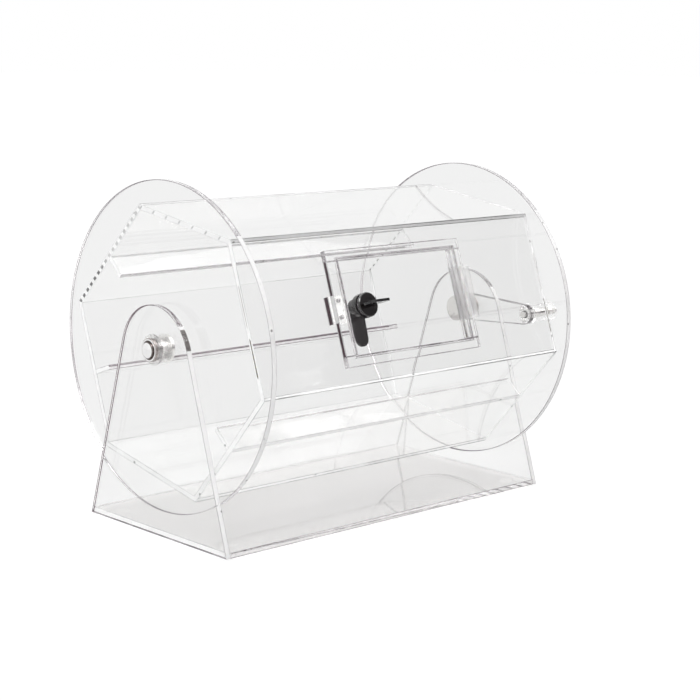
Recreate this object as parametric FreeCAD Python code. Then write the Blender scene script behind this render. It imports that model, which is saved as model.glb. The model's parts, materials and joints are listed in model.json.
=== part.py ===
import FreeCAD, Part
import math
import os

# Clear raffle drum on a stand, in millimetres. X runs along the axle, the door faces -Y at rest, Z is up.
# The origin lies on the surface that the feet stand on, under the middle of the overall length from the
# left axle cap to the end of the crank's grip. Shapes are drawn about the middle of the drum and moved there.

# Drum
sheet = 5.0
drum_length = 380.0
disc_radius = 150.0
hexagon_radius = 140.0
top_side_width = 132.0
door_tilt = 18.9
fin_height = 22.0
fin_thickness = 4.5
fin_sides = {"rear_upper": 2, "rear_lower": 3, "front_lower": 5}

# Stand
base_depth = 204.0
base_thickness = 5.0
upright_thickness = 5.0
upright_gap = 6.0
axle_above_base = 170.0
crown_radius = 50.0
crown_drop = 10.0
foot_radius = 8.0
foot_height = 2.0
foot_chamfer = 0.7
foot_inset_x = 21.0
foot_inset_y = 23.0

# Axle and bushes
axle_radius = 6.0
running_gap = 0.05
end_gap = 0.3
flange_radius = 13.0
flange_thickness = 3.0
collar_radius = 10.0
bush_radius = 9.0
bush_flange_radius = 14.0
bush_flange = 2.5
cap_radius = 10.8
cap_step = 3.2
cap_dome_radius = 7.6
cap_dome_height = 3.6
cap_grip = 3.0
cap_chamfer = 0.6
cap_boss_height = 1.2

# Door way and its stop frame
opening_width = 150.0
opening_height = 91.0
door_gap = 1.0
door_seat_gap = 0.2
stop_overlap_x = 9.5
stop_overlap_z = 7.5
stop_ledge_x = 4.5
stop_ledge_z = 2.4
keeper_width = 16.0
keeper_height = 25.0
keeper_thickness = 7.0
keeper_screw_radius = 1.5
keeper_screw_head = 2.9
keeper_screw_spacing = 15.0
keeper_screw_length = 10.0

# Hinge
hinge_height = 50.0
hinge_leaf_width = 13.0
hinge_leaf_thickness = 1.5
hinge_knuckles = 5
knuckle_radius = 2.5
knuckle_gap = 0.3
knuckle_lift = 0.2
hinge_pin_radius = 1.0

# Cam lock
lock_inset = 24.0
lock_head_radius = 11.3
lock_head_thickness = 2.4
lock_head_chamfer = 0.8
lock_barrel_radius = 9.0
lock_barrel_flats = 15.8
lock_hole_gap = 0.2
lock_nut_radius = 11.5
lock_nut_thickness = 5.0
lock_thread_gap = 0.1
plug_radius = 6.0
plug_recess = 0.3
cam_clearance = 0.4
cam_square = 7.0
cam_thickness = 2.0
cam_pivot_radius = 8.5
cam_tip_radius = 7.2
cam_reach = 28.0
cam_screw_head_radius = 4.6
cam_screw_head_height = 2.4
cam_screw_radius = 1.8
cam_screw_length = 6.0
cam_screw_cross_length = 5.6
cam_screw_cross_width = 1.1
cam_screw_cross_depth = 1.2
key_blade_width = 7.5
key_blade_thickness = 1.8
key_blade_depth = 13.0
key_slot_gap = 0.1
key_neck = 3.0
key_bow_width = 22.0
key_bow_length = 16.0
key_bow_thickness = 2.4
key_bow_corner = 4.0
key_ring_hole = 2.0
key_ring_edge = 2.4

# Crank
crank_length = 75.0
crank_thickness = 6.0
crank_hub_radius = 14.0
crank_tip_radius = 10.0
crank_square = 8.4
grip_length = 38.0
grip_radius = 10.5
grip_waist_radius = 8.5
grip_end_round = 2.5
grip_bolt_radius = 4.0
grip_bolt_thread_radius = 3.0
grip_bolt_head_radius = 7.0
grip_bolt_head_height = 3.0
grip_bolt_chamfer = 0.8

# How far a cutting shape runs past the face that it cuts
over = 1.0

# Places that follow from the sizes above
cos30 = math.cos(math.radians(30))
half_length = drum_length / 2
inner_half = half_length - sheet
side_face = hexagon_radius * cos30
axle_height = foot_height + axle_above_base
upright_inner = half_length + upright_gap
upright_outer = upright_inner + upright_thickness
bush_face = upright_outer + bush_flange
fitting_face = bush_face + end_gap
crank_face = fitting_face + crank_thickness
half_depth = base_depth / 2
half_opening_x = opening_width / 2
half_opening_z = opening_height / 2
stop_front = side_face - sheet
stop_back = stop_front - sheet
stop_inner_x = half_opening_x - stop_ledge_x
stop_inner_z = half_opening_z - stop_ledge_z
stop_outer_x = half_opening_x + stop_overlap_x
stop_outer_z = half_opening_z + stop_overlap_z
keeper_back = stop_back - keeper_thickness
door_front = side_face + door_seat_gap
door_back = door_front - sheet
door_half_x = half_opening_x - door_gap
door_half_z = half_opening_z - door_gap
hinge_x = half_opening_x - door_gap / 2
hinge_out = door_front + knuckle_lift + knuckle_radius
lock_x = lock_inset - door_half_x
lock_front = door_front + lock_head_thickness
cam_front = keeper_back - cam_clearance
cam_back = cam_front - cam_thickness
barrel_back = cam_front + lock_thread_gap
plug_front = lock_front - plug_recess
grip_end = crank_face + 2 * end_gap + grip_length
left_reach = fitting_face + cap_step + cap_dome_height
right_reach = grip_end + grip_bolt_head_height
drum_middle = (left_reach - right_reach) / 2

X_AXIS = FreeCAD.Vector(1, 0, 0)
Y_AXIS = FreeCAD.Vector(0, 1, 0)
Z_AXIS = FreeCAD.Vector(0, 0, 1)


def vec(x, y, z):
    return FreeCAD.Vector(x, y, z)


def block(x0, x1, y0, y1, z0, z1):
    """A box between two corners."""
    low = vec(min(x0, x1), min(y0, y1), min(z0, z1))
    return Part.makeBox(abs(x1 - x0), abs(y1 - y0), abs(z1 - z0), low)


def rod_x(radius, x0, x1, y=0.0, z=0.0):
    """A round bar along X."""
    return Part.makeCylinder(radius, abs(x1 - x0), vec(min(x0, x1), y, z), X_AXIS)


def rod_out(radius, out0, out1, x=0.0, z=0.0):
    """A round bar square to the door side, between two distances outward from the axle."""
    low, high = sorted((out0, out1))
    return Part.makeCylinder(radius, high - low, vec(x, -high, z), Y_AXIS)


def rod_z(radius, z0, z1, x, y):
    """A round bar along Z."""
    return Part.makeCylinder(radius, z1 - z0, vec(x, y, z0), Z_AXIS)


def slab(x0, x1, out0, out1, z0, z1):
    """A box on the door side, between two distances outward from the axle."""
    return block(x0, x1, -out0, -out1, z0, z1)


def lifted(shape):
    """From the axle's centre line to its height over the table."""
    shape.translate(vec(0, 0, axle_height))
    return shape


def on_side(shape):
    """From a side that faces -Y to the tilted side with the door."""
    shape.rotate(vec(0, 0, 0), X_AXIS, -door_tilt)
    return lifted(shape)


def mirrored(shape, hand):
    """The same shape for the right end (hand 1) or the left end (hand -1)."""
    if hand > 0:
        return shape
    return shape.mirror(vec(0, 0, 0), X_AXIS)


def save(name, shape):
    shape.translate(vec(drum_middle, 0, 0))
    shape.exportStep("parts/" + name + ".step")


def tapered_outline(radius0, radius1, length):
    """A face in the YZ plane: two round ends, at the origin and at -Y length, joined by tangent lines."""
    lean = math.asin((radius0 - radius1) / length)

    def rim(centre, radius, angle):
        return vec(0, centre + radius * math.cos(angle), radius * math.sin(angle))

    top = math.pi / 2 + lean
    a0 = rim(0, radius0, top)
    a1 = rim(0, radius0, -top)
    b0 = rim(-length, radius1, top)
    b1 = rim(-length, radius1, -top)
    edges = [
        Part.Arc(a1, vec(0, radius0, 0), a0).toShape(),
        Part.LineSegment(a0, b0).toShape(),
        Part.Arc(b0, vec(0, -length - radius1, 0), b1).toShape(),
        Part.LineSegment(b1, a1).toShape(),
    ]
    return Part.Face(Part.Wire(edges))


# Stand
def base_plate():
    top = foot_height + base_thickness
    return block(-upright_inner, upright_inner, -half_depth, half_depth, foot_height, top)


def upright(hand):
    """A tapered cheek whose sides run straight from the base corners into a round crown."""
    crown_height = axle_height - crown_drop
    rise = crown_height - foot_height
    reach = math.hypot(half_depth, rise)
    turn = math.atan2(rise, half_depth) - math.acos(crown_radius / reach)
    touch_y = crown_radius * math.cos(-turn)
    touch_z = crown_height + crown_radius * math.sin(-turn)
    left = vec(upright_inner, -half_depth, foot_height)
    right = vec(upright_inner, half_depth, foot_height)
    touch_left = vec(upright_inner, -touch_y, touch_z)
    touch_right = vec(upright_inner, touch_y, touch_z)
    crown = vec(upright_inner, 0, crown_height + crown_radius)
    edges = [
        Part.LineSegment(left, right).toShape(),
        Part.LineSegment(right, touch_right).toShape(),
        Part.Arc(touch_right, crown, touch_left).toShape(),
        Part.LineSegment(touch_left, left).toShape(),
    ]
    cheek = Part.Face(Part.Wire(edges)).extrude(vec(upright_thickness, 0, 0))
    hole = rod_x(bush_radius, upright_inner - over, upright_outer + over, 0, axle_height)
    return mirrored(cheek.cut(hole), hand)


def bush(hand):
    barrel = rod_x(bush_radius, upright_inner, upright_outer)
    flange = rod_x(bush_flange_radius, upright_outer, bush_face)
    bore = rod_x(axle_radius + running_gap, upright_inner - over, bush_face + over)
    return lifted(mirrored(barrel.fuse(flange).cut(bore), hand))


def feet():
    solids = []
    for sign_x in (-1, 1):
        for sign_y in (-1, 1):
            x = sign_x * (upright_outer - foot_inset_x)
            y = sign_y * (half_depth - foot_inset_y)
            foot = rod_z(foot_radius, 0, foot_height, x, y)
            solids.append(foot.makeChamfer(foot_chamfer, [foot.Edges[2]]))
    return Part.makeCompound(solids)


# Drum
def disc(hand):
    plate = rod_x(disc_radius, inner_half, half_length)
    hole = rod_x(axle_radius, inner_half - over, half_length + over)
    return lifted(mirrored(plate.cut(hole), hand))


def drum_corner(number):
    """An outer corner of the hexagon, counted up and back from the door's upper edge, seen along the axle.

    The top side is narrower than the other five, which draws its rear corner, number 1, inwards.
    """
    angle = math.radians(door_tilt + 30 + 60 * number)
    if number != 1:
        return vec(-inner_half, -hexagon_radius * math.cos(angle), hexagon_radius * math.sin(angle))
    front, rear = drum_corner(0), drum_corner(2)
    chord = rear - front
    span = chord.Length
    along = (top_side_width**2 - hexagon_radius**2 + span**2) / (2 * span)
    rise = math.sqrt(top_side_width**2 - along**2)
    outward = chord.normalize().cross(X_AXIS).negative()
    return front + chord * along + outward * rise


def side_frame(number):
    """The two outer corners of a side and its outward direction; side 0 holds the door, side 1 is the top."""
    lower, upper = drum_corner((number - 1) % 6), drum_corner(number % 6)
    outward = (upper - lower).normalize().cross(X_AXIS).negative()
    return lower, upper, outward


def mitre(corner, outward0, outward1):
    """The inner corner behind an outer corner, where the inner faces of two sides meet."""
    return corner - (outward0 + outward1) * (sheet / (1 + outward0.dot(outward1)))


def along_drum(corners):
    """A bar over the length between the discs, with the given corners in its section."""
    face = Part.Face(Part.makePolygon(corners + [corners[0]]))
    return lifted(face.extrude(vec(2 * inner_half, 0, 0)))


def side_sheet(number):
    """One flat side, with both long edges mitred to meet its neighbours."""
    lower, upper, outward = side_frame(number)
    before = side_frame(number - 1)[2]
    after = side_frame(number + 1)[2]
    return along_drum([lower, upper, mitre(upper, outward, after), mitre(lower, outward, before)])


def door_side():
    out0 = stop_front - over
    out1 = side_face + over
    way = slab(-half_opening_x, half_opening_x, out0, out1, -half_opening_z, half_opening_z)
    return side_sheet(0).cut(on_side(way))


def fin(number):
    """A mixing fin that stands inward from the middle of a side."""
    lower, upper, outward = side_frame(number)
    root = (lower + upper) / 2 - outward * sheet
    tip = root - outward * fin_height
    half = (upper - lower).normalize() * (fin_thickness / 2)
    return along_drum([root - half, root + half, tip + half, tip - half])


def axle(hand, end_x, square_x=None):
    """A stub with a flange bonded inside the disc; a square seat holds the crank."""
    flange = rod_x(flange_radius, inner_half - flange_thickness, inner_half)
    shaft = rod_x(axle_radius, inner_half - flange_thickness, end_x)
    stub = flange.fuse(shaft)
    if square_x is not None:
        half = crank_square / 2
        seat = rod_x(axle_radius + over, square_x, square_x + crank_thickness)
        seat = seat.cut(block(square_x, square_x + crank_thickness, -half, half, -half, half))
        stub = stub.cut(seat)
    return lifted(mirrored(stub, hand))


def collar(hand):
    ring = rod_x(collar_radius, half_length, upright_inner - end_gap)
    ring = ring.cut(rod_x(axle_radius, half_length - over, upright_inner))
    return lifted(mirrored(ring, hand))


def axle_cap(hand, seat_x):
    """A stepped cap with a low dome, screwed on the end of the stub."""
    step = rod_x(cap_radius, seat_x, seat_x + cap_step)
    step = step.makeChamfer(cap_chamfer, [step.Edges[0]])
    boss_end = seat_x + cap_step + cap_boss_height
    boss = rod_x(cap_dome_radius, seat_x + cap_step / 2, boss_end)
    rise = cap_dome_height - cap_boss_height
    ball_radius = (cap_dome_radius**2 + rise**2) / (2 * rise)
    ball = Part.makeSphere(ball_radius, vec(boss_end + rise - ball_radius, 0, 0))
    dome = ball.common(rod_x(cap_dome_radius, boss_end, boss_end + rise + over))
    cap = step.fuse(boss).fuse(dome)
    cap = cap.cut(rod_x(axle_radius, seat_x - over, seat_x + cap_grip))
    return lifted(mirrored(cap, hand))


# Stop frame and keeper
def stop_rail(sign):
    z0, z1 = sign * stop_inner_z, sign * stop_outer_z
    return on_side(slab(-stop_outer_x, stop_outer_x, stop_back, stop_front, z0, z1))


def stop_stile(sign):
    x0, x1 = sign * stop_inner_x, sign * stop_outer_x
    stile = slab(x0, x1, stop_back, stop_front, -stop_inner_z, stop_inner_z)
    if sign < 0:
        stile = stile.cut(keeper_screw_shapes())
    return on_side(stile)


def keeper_screw_shapes():
    """Two countersunk screws whose heads lie flush with the keeper's back."""
    x = -stop_inner_x - keeper_width / 2
    sink = keeper_screw_head - keeper_screw_radius
    screws = []
    for sign in (-1, 1):
        z = sign * keeper_screw_spacing / 2
        shank = rod_out(keeper_screw_radius, keeper_back, keeper_back + keeper_screw_length, x, z)
        neck = vec(x, -keeper_back - sink, z)
        head = Part.makeCone(keeper_screw_radius, keeper_screw_head, sink, neck, Y_AXIS)
        screws.append(shank.fuse(head))
    return Part.makeCompound(screws)


def keeper():
    outer = -stop_inner_x - keeper_width
    half = keeper_height / 2
    body = slab(outer, -stop_inner_x, keeper_back, stop_back, -half, half)
    return on_side(body.cut(keeper_screw_shapes()))


# Door
def barrel_outline(out0, out1, gap):
    """The lock's threaded barrel, round with two flats that stop it turning in the door."""
    half = lock_barrel_flats / 2 + gap
    reach = lock_barrel_radius + gap
    flats = slab(lock_x - reach, lock_x + reach, out0, out1, -half, half)
    return rod_out(reach, out0, out1, lock_x).common(flats)


def door_leaf():
    leaf = slab(-door_half_x, door_half_x, door_back, door_front, -door_half_z, door_half_z)
    return on_side(leaf.cut(barrel_outline(door_back - over, door_front + over, lock_hole_gap)))


def lock_barrel():
    head = rod_out(lock_head_radius, door_front, lock_front, lock_x)
    front_rim = min(head.Edges, key=lambda edge: edge.CenterOfMass.y)
    head = head.makeChamfer(lock_head_chamfer, [front_rim])
    body = head.fuse(barrel_outline(barrel_back, door_front, 0))
    return on_side(body.cut(rod_out(plug_radius + running_gap, cam_back, lock_front + over, lock_x)))


def lock_nut():
    nut = rod_out(lock_nut_radius, door_back - lock_nut_thickness, door_back, lock_x)
    nut_back = door_back - lock_nut_thickness
    nut = nut.cut(rod_out(lock_barrel_radius, nut_back - over, door_back + over, lock_x))
    return on_side(nut)


def lock_plug():
    body = rod_out(plug_radius, cam_front, plug_front, lock_x)
    half = cam_square / 2
    square = slab(lock_x - half, lock_x + half, cam_back, cam_front, -half, half)
    wide = key_blade_width / 2 + key_slot_gap
    thick = key_blade_thickness / 2 + key_slot_gap
    floor = plug_front - key_blade_depth - key_slot_gap
    slot = slab(lock_x - wide, lock_x + wide, floor, plug_front + over, -thick, thick)
    thread = rod_out(cam_screw_radius, cam_back - over, cam_back + cam_screw_length, lock_x)
    return on_side(body.fuse(square).cut(slot).cut(thread))


def lock_cam():
    """The cam hangs down at rest, clear of the keeper."""
    flat = tapered_outline(cam_pivot_radius, cam_tip_radius, cam_reach)
    plate = flat.extrude(vec(cam_thickness, 0, 0))
    plate.rotate(vec(0, 0, 0), X_AXIS, 90)
    plate.rotate(vec(0, 0, 0), Z_AXIS, 90)
    plate.translate(vec(lock_x, -cam_front, 0))
    half = cam_square / 2
    hole = slab(lock_x - half, lock_x + half, cam_back - over, cam_front + over, -half, half)
    return on_side(plate.cut(hole))


def cam_screw():
    head_end = cam_back - cam_screw_head_height
    head = rod_out(cam_screw_head_radius, head_end, cam_back, lock_x)
    shank = rod_out(cam_screw_radius, cam_back, cam_back + cam_screw_length, lock_x)
    screw = head.fuse(shank)
    long_half = cam_screw_cross_length / 2
    slot_half = cam_screw_cross_width / 2
    slot_floor = head_end + cam_screw_cross_depth
    for x_half, z_half in ((long_half, slot_half), (slot_half, long_half)):
        cross = slab(lock_x - x_half, lock_x + x_half, head_end - over, slot_floor, -z_half, z_half)
        screw = screw.cut(cross)
    return on_side(screw)


def key():
    blade_half = key_blade_width / 2
    thick = key_blade_thickness / 2
    bow_start = plug_front + key_neck
    tip = plug_front - key_blade_depth
    blade = slab(lock_x - blade_half, lock_x + blade_half, tip, bow_start + over, -thick, thick)
    bow_half = key_bow_width / 2
    plate = key_bow_thickness / 2
    bow = slab(lock_x - bow_half, lock_x + bow_half, bow_start, bow_start + key_bow_length, -plate, plate)
    upright_edges = [edge for edge in bow.Edges if abs(edge.tangentAt(edge.FirstParameter).z) > 0.9]
    bow = bow.makeFillet(key_bow_corner, upright_edges)
    ring_out = bow_start + key_bow_length - key_ring_hole - key_ring_edge
    bow = bow.cut(rod_z(key_ring_hole, -plate - over, plate + over, lock_x, -ring_out))
    return on_side(bow.fuse(blade))


# Hinge
def hinge_leaf(hand, face_out, fixed):
    """One leaf with its knuckles; the fixed leaf has the first, third and fifth knuckle."""
    half = hinge_height / 2
    pitch = hinge_height / hinge_knuckles
    far = hinge_x + hand * hinge_leaf_width
    leaf = slab(hinge_x, far, face_out, face_out + hinge_leaf_thickness, -half, half)
    bore_radius = hinge_pin_radius + (0 if fixed else running_gap)
    first = 0 if fixed else 1
    for number in range(hinge_knuckles):
        z0 = -half + number * pitch
        if number % 2 == first:
            leaf = leaf.fuse(rod_z(knuckle_radius, z0, z0 + pitch, hinge_x, -hinge_out))
    for number in range(hinge_knuckles):
        z0 = -half + number * pitch
        if number % 2 != first:
            room_low, room_high = z0 - knuckle_gap, z0 + pitch + knuckle_gap
            leaf = leaf.cut(rod_z(knuckle_radius + knuckle_gap, room_low, room_high, hinge_x, -hinge_out))
    leaf = leaf.cut(rod_z(bore_radius, -half - over, half + over, hinge_x, -hinge_out))
    return on_side(leaf.removeSplitter())


def hinge_pin():
    half = hinge_height / 2
    return on_side(rod_z(hinge_pin_radius, -half, half, hinge_x, -hinge_out))


# Crank, pointing forward at rest
def crank_arm():
    outline = tapered_outline(crank_hub_radius, crank_tip_radius, crank_length)
    bar = outline.extrude(vec(crank_thickness, 0, 0))
    bar.translate(vec(fitting_face, 0, 0))
    half = crank_square / 2
    x0 = fitting_face - over
    x1 = crank_face + over
    bar = bar.cut(block(x0, x1, -half, half, -half, half))
    bar = bar.cut(rod_x(grip_bolt_thread_radius, x0, x1, -crank_length))
    return lifted(bar)


def crank_grip():
    """A waisted grip that turns on its shoulder screw."""
    start = crank_face + end_gap
    end = start + grip_length
    bore = grip_bolt_radius + running_gap
    shoulder = grip_radius - grip_end_round
    inner_start = vec(start, 0, bore)
    rim_start = vec(start, 0, shoulder)
    round_start = vec(start + grip_end_round, 0, grip_radius)
    waist = vec((start + end) / 2, 0, grip_waist_radius)
    round_end = vec(end - grip_end_round, 0, grip_radius)
    rim_end = vec(end, 0, shoulder)
    inner_end = vec(end, 0, bore)
    outline = [
        Part.LineSegment(inner_start, rim_start).toShape(),
        Part.LineSegment(rim_start, round_start).toShape(),
        Part.Arc(round_start, waist, round_end).toShape(),
        Part.LineSegment(round_end, rim_end).toShape(),
        Part.LineSegment(rim_end, inner_end).toShape(),
        Part.LineSegment(inner_end, inner_start).toShape(),
    ]
    grip = Part.Face(Part.Wire(outline)).revolve(vec(0, 0, 0), X_AXIS, 360)
    grip.translate(vec(0, -crank_length, 0))
    return lifted(grip)


def grip_screw():
    thread = rod_x(grip_bolt_thread_radius, fitting_face, crank_face, -crank_length)
    shoulder = rod_x(grip_bolt_radius, crank_face, grip_end, -crank_length)
    head = rod_x(grip_bolt_head_radius, grip_end, right_reach, -crank_length)
    head = head.makeChamfer(grip_bolt_chamfer, [head.Edges[0]])
    return lifted(thread.fuse(shoulder).fuse(head))


def main():
    os.makedirs("parts", exist_ok=True)
    ends = {"left": -1, "right": 1}
    cap_seats = {"left": fitting_face, "right": crank_face}
    side_names = ["top", "rear_upper", "rear_lower", "bottom", "front_lower"]

    save("base_plate", base_plate())
    save("bumper_feet", feet())
    for end, hand in ends.items():
        cap_seat = cap_seats[end]
        square_x = fitting_face if end == "right" else None
        save(end + "_upright", upright(hand))
        save(end + "_bush", bush(hand))
        save(end + "_disc", disc(hand))
        save(end + "_axle", axle(hand, cap_seat + cap_grip, square_x))
        save(end + "_collar", collar(hand))
        save(end + "_axle_cap", axle_cap(hand, cap_seat))

    save("door_side", door_side())
    for number, name in enumerate(side_names, start=1):
        save(name + "_side", side_sheet(number))
    for name, number in fin_sides.items():
        save(name + "_fin", fin(number))

    save("upper_stop_rail", stop_rail(1))
    save("lower_stop_rail", stop_rail(-1))
    save("keeper_stop_stile", stop_stile(-1))
    save("hinge_stop_stile", stop_stile(1))
    save("lock_keeper", keeper())
    save("keeper_screws", on_side(keeper_screw_shapes()))

    save("door_leaf", door_leaf())
    save("hinge_fixed_leaf", hinge_leaf(1, side_face, True))
    save("hinge_door_leaf", hinge_leaf(-1, door_front, False))
    save("hinge_pin", hinge_pin())
    save("lock_barrel", lock_barrel())
    save("lock_nut", lock_nut())
    save("lock_plug", lock_plug())
    save("lock_cam", lock_cam())
    save("cam_screw", cam_screw())
    save("lock_key", key())

    save("crank_arm", crank_arm())
    save("crank_grip", crank_grip())
    save("grip_screw", grip_screw())


main()
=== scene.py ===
import bpy
import bmesh
import json
import math
from mathutils import Matrix, Vector


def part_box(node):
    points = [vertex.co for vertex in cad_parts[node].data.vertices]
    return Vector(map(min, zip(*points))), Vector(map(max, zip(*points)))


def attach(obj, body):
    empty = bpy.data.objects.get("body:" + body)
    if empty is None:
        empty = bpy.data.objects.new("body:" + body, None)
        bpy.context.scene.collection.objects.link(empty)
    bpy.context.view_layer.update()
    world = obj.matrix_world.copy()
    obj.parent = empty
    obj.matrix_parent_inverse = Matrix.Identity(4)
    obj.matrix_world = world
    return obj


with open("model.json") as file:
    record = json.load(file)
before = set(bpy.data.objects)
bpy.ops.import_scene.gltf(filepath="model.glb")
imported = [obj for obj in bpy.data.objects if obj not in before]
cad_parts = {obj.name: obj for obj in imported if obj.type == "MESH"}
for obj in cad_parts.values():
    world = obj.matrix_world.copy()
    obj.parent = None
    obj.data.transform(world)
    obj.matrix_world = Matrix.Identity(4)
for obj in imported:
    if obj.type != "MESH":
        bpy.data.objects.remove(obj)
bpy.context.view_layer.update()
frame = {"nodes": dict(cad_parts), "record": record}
nodes = frame["nodes"]
scene = bpy.context.scene

MM = 0.001
X_AXIS = Vector((1, 0, 0))

# How directions and points are told apart
FLAT = 0.98
FACING = 0.9
TOUCH = 0.01 * MM
WELD = 0.002 * MM
HOLE_SLACK = 5 * MM
END_SLACK = 2 * MM

# Camera
CAMERA_PLACE = (-1.1121, -1.2210, 0.4405)
CAMERA_YAW = 0.7456
CAMERA_PITCH = 0.1761
CAMERA_ROLL = 0.0097
FOCAL_PIXELS = 1718.7
PHOTO_WIDTH = 700

# Studio, as plain light levels; the places of the window and the dark patch are directions
BACKDROP = 0.88
FLOOR_ALBEDO = 0.3
FLOOR_LIT = 0.27
FLOOR_SEEN = 0.76
FLOOR_MIRRORED = 0.62
# Painted shadow: the floor under the base plate is dimmed to this share for all but camera rays
FLOOR_PAINTED_SHADOW = 0.5
ROOM = (0.62, 0.59, 0.61)
DARK = (0.07, 0.06, 0.065)
DARK_PLACE = (0.80, -0.60, 0.05)
WINDOW = (1.0, 1.0, 1.0)
WINDOW_PLACE = (-0.93, -0.36, 0.08)
BACK_WALL = 0.95
CEILING = 2.4
DIFFUSE_SKY = 0.5
FLOOR_SIZE = 20
LIGHT_BOUNCES = 64

# Faces and cut edges
ACRYLIC_IOR = 1.49
NYLON_IOR = 1.5
# The base's warm tints are painted: they stand in for a warm reflection in the base plate
BASE_TINT = (0.975, 0.962, 0.956)
CLEAR_TINT = (0.998, 0.999, 0.997)
EDGE_TINT = (0.93, 0.92, 0.93)
# A darker tint for the rear lower fin's edges: painted dark reflection
DARK_EDGE_TINT = (0.80, 0.77, 0.79)
BASE_EDGE_TINT = (0.93, 0.915, 0.91)
# The painted dark reflection on the door way's hinge-side edge: its colour, length and reach
JAMB_DARK_REFLECTION = (0.055, 0.045, 0.035)
JAMB_REFLECTION_LENGTH = 25 * MM
JAMB_REACH = 10 * MM
# The colours of the painted dark reflection on the keeper side's outer edges
DARK_PURPLE = (0.016, 0.004, 0.009)
PALE_PURPLE = (0.050, 0.022, 0.032)

# Glue joints; a core's stretches are (start, end, strength), as shares of the joint's height
JOINT_REACH = 0.15 * MM
JOINT_INSET = 0.04 * MM
PLANE_SLACK = 0.05 * MM
CORE_STRETCHES = ((0.15, 0.37, 1.0), (0.46, 0.70, 0.45))
CORE_FADE = 0.02
CORE_COLOUR = (0.10, 0.085, 0.06)
DASH_PITCH = 8.5 * MM
DOT_PITCH = 19.0 * MM

# The front edges with a painted highlight, and the crown's stretch of painted dark reflection: their faces'
# directions, along Y and Z
FRONT_EDGE = -0.70
DARK_CROWN = (0.31, 0.63)
# The colours of the crown's painted dark reflection
CROWN_DARK = (0.045, 0.037, 0.035)
CROWN_PALE = (0.24, 0.22, 0.21)

# Turned parts: painted dark rings of shade and reflection at the grooves, as shares of the cap's radius, and
# how round they are drawn
CAP_GROOVE = (0.66, 0.80)
CAP_RIM = (0.94, 0.99)
TURNING_STEPS = 72
LATHE_MARKS = (60.0, 900.0, 900.0)

# Arrises: the fine line along every sawn corner, in pairs of a light and a dark colour. The lines are
# painted: on the clear parts they stand in for the dark that the corners show by reflection and refraction,
# on the black lock for glints
ARRIS_RADIUS = 0.28 * MM
BOLD_RADIUS = 0.36 * MM
FIN_RADIUS = 0.22 * MM
ARRIS_INSET = 1.5
ARRIS_TURN = 30
# The radius of the painted glint lines on the black lock's edges
GLINT_RADIUS = 0.16 * MM
GREY_LINE = ((0.44, 0.41, 0.43), (0.17, 0.145, 0.165))
DISC_LINE = ((0.42, 0.38, 0.41), (0.20, 0.165, 0.19))
PURPLE_LINE = ((0.20, 0.14, 0.17), (0.11, 0.06, 0.085))
# The colours of the painted glint lines on the black lock's edges
GLINT_LINE = ((0.38, 0.36, 0.35), (0.12, 0.10, 0.095))
SHORT_GRAIN = 33.0
LONG_GRAIN = 9.0

SIDES = ["door_side", "top_side", "rear_upper_side", "rear_lower_side", "bottom_side", "front_lower_side"]
FINS = ["rear_upper_fin", "rear_lower_fin", "front_lower_fin"]
DISCS = ["left_disc", "right_disc"]
STOP_FRAME = ["upper_stop_rail", "lower_stop_rail", "keeper_stop_stile", "hinge_stop_stile"]


def add_camera():
    """Looks along +Y turned by yaw towards +X, and down by pitch."""
    cy, sy = math.cos(CAMERA_YAW), math.sin(CAMERA_YAW)
    cp, sp = math.cos(CAMERA_PITCH), math.sin(CAMERA_PITCH)
    cr, sr = math.cos(CAMERA_ROLL), math.sin(CAMERA_ROLL)
    forward = Vector((sy * cp, cy * cp, -sp))
    level = Vector((cy, -sy, 0))
    above = level.cross(forward)
    right = level * cr + above * sr
    up = above * cr - level * sr
    data = bpy.data.cameras.new("camera")
    data.sensor_width = 36
    data.lens = FOCAL_PIXELS * data.sensor_width / PHOTO_WIDTH
    data.clip_end = 50
    camera = bpy.data.objects.new("camera", data)
    turn = Matrix((right, up, -forward)).transposed().to_4x4()
    camera.matrix_world = Matrix.Translation(CAMERA_PLACE) @ turn
    scene.collection.objects.link(camera)
    scene.camera = camera


# Node helpers: a term is a link or a plain value
def join(tree, term, socket):
    if isinstance(term, bpy.types.NodeSocket):
        tree.links.new(term, socket)
    elif isinstance(term, tuple) and len(term) == 3 and socket.type == "RGBA":
        socket.default_value = (*term, 1)
    else:
        socket.default_value = term


def maths(tree, operation, *terms):
    node = tree.nodes.new("ShaderNodeMath")
    node.operation = operation
    for socket, term in zip(node.inputs, terms):
        join(tree, term, socket)
    return node.outputs[0]


def vectors(tree, operation, *terms):
    node = tree.nodes.new("ShaderNodeVectorMath")
    node.operation = operation
    for socket, term in zip(node.inputs, terms):
        join(tree, term, socket)
    return node.outputs["Value"] if operation in ("DOT_PRODUCT", "LENGTH") else node.outputs[0]


def scaled(tree, vector, factor):
    node = tree.nodes.new("ShaderNodeVectorMath")
    node.operation = "SCALE"
    join(tree, vector, node.inputs[0])
    join(tree, factor, node.inputs["Scale"])
    return node.outputs[0]


def blend(tree, factor, first, second):
    """A colour between two others."""
    node = tree.nodes.new("ShaderNodeMix")
    node.data_type = "RGBA"
    join(tree, factor, node.inputs[0])
    join(tree, first, node.inputs[6])
    join(tree, second, node.inputs[7])
    return node.outputs[2]


def smooth(tree, value, low, high, start=0.0, end=1.0):
    """Runs from start below low to end above high, with a smooth step between."""
    node = tree.nodes.new("ShaderNodeMapRange")
    node.interpolation_type = "SMOOTHSTEP"
    join(tree, value, node.inputs["Value"])
    node.inputs["From Min"].default_value = low
    node.inputs["From Max"].default_value = high
    node.inputs["To Min"].default_value = start
    node.inputs["To Max"].default_value = end
    return node.outputs[0]


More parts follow.
